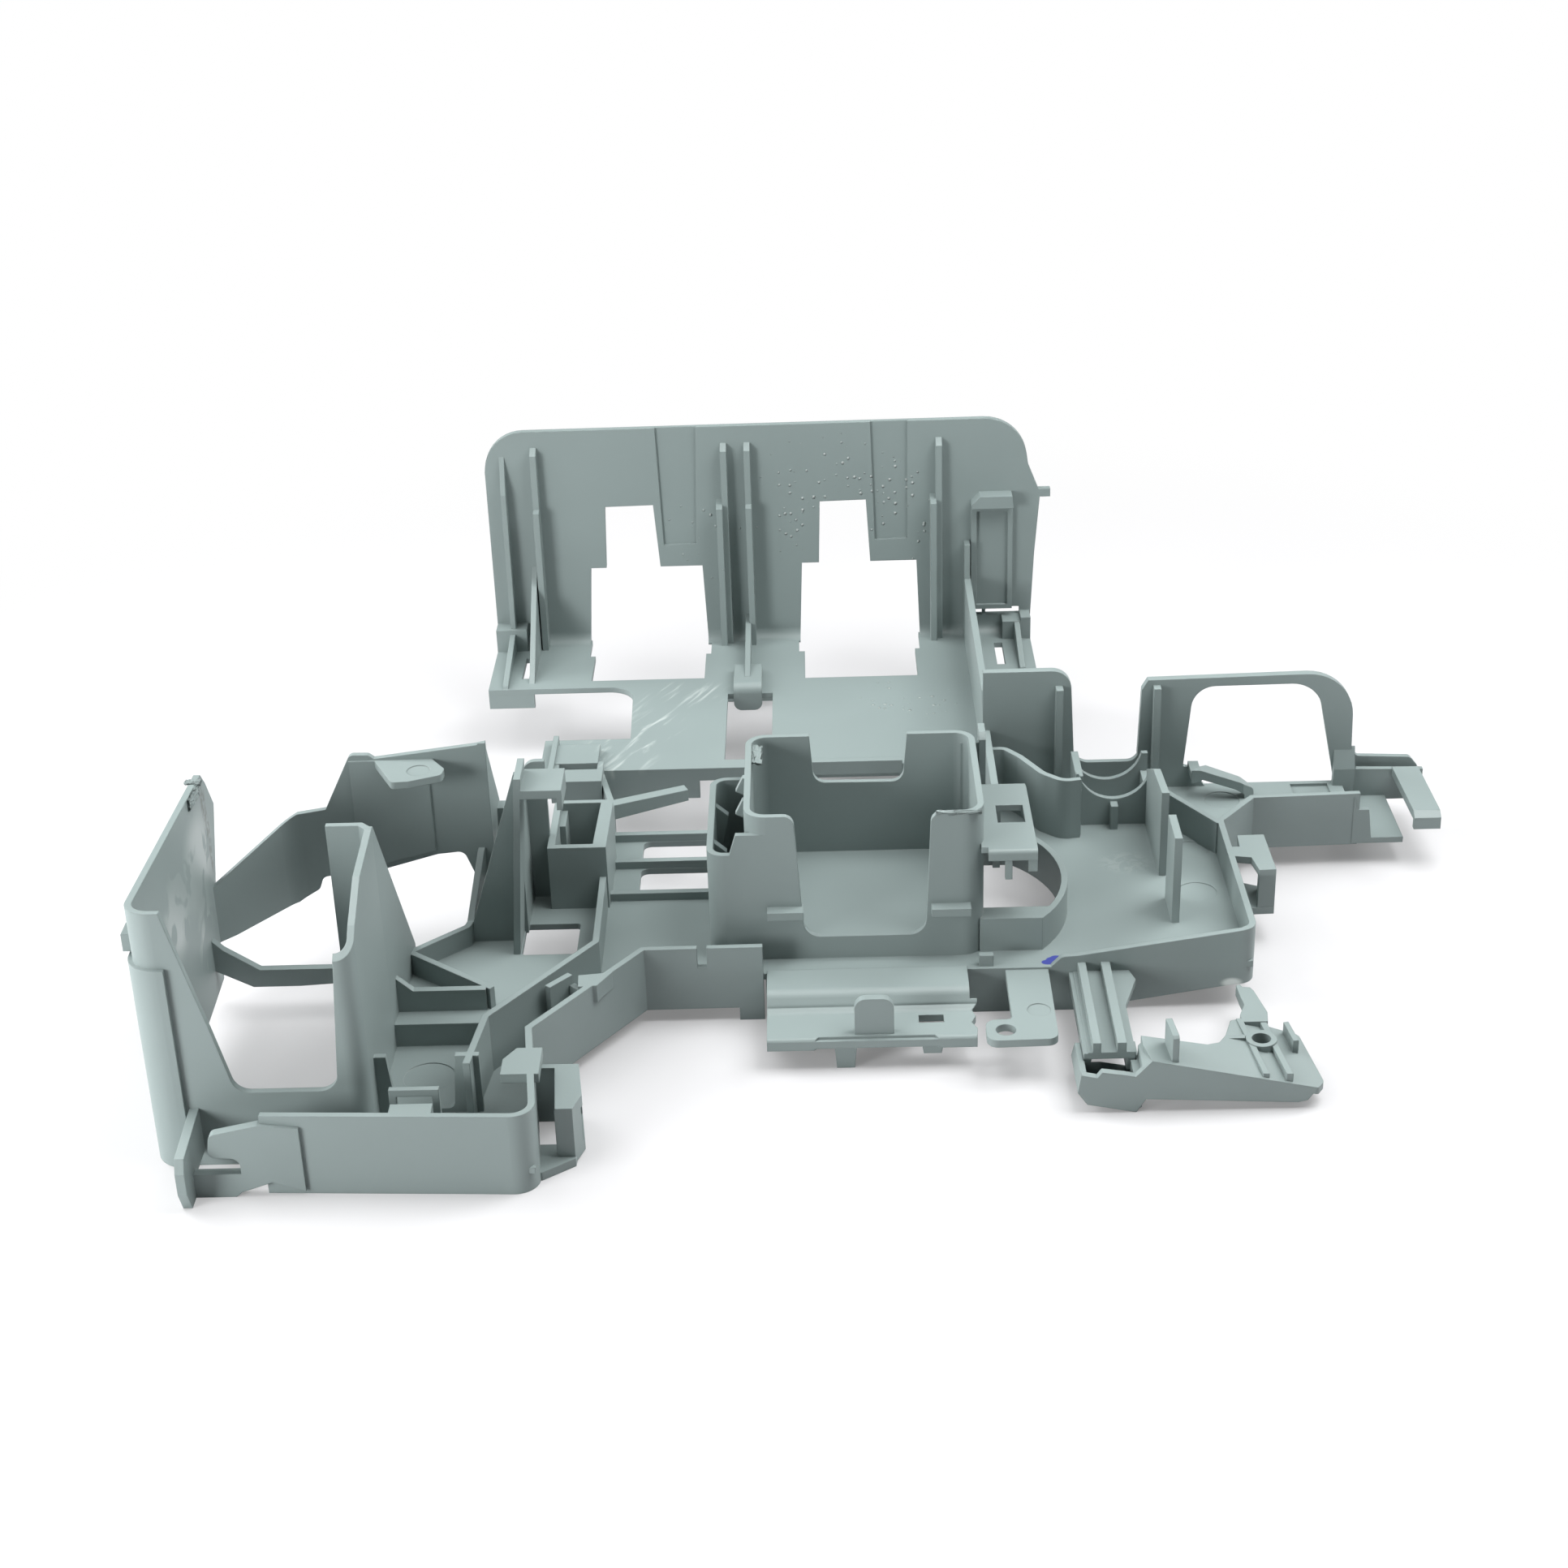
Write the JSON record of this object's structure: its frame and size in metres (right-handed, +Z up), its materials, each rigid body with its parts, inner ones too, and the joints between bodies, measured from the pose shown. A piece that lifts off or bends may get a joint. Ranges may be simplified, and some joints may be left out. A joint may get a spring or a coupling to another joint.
{
  "type": "injection moulded plastic housing",
  "caption": "Thin-walled moulded chassis with a deep open box, cable channels, a D-shaped collar, a tub with cradles, a hoop and an upright windowed panel, with its broken latch lever.",
  "frame": {"origin": "centre of the whole part's footprint, on the surface it lies on", "axes": "+X to the right along the long side, +Y away from the box's front towards the upright panel, +Z up"},
  "size_m": [0.2992, 0.2442, 0.0837],
  "materials": {
    "housing_plastic": "fine matt moulded, grey-green",
    "lever_plastic": "fine matt moulded, grey-green"
  },
  "bodies": {
    "root": {"housing": "housing_plastic", "latch_lever": "lever_plastic"}
  },
  "joints": []
}
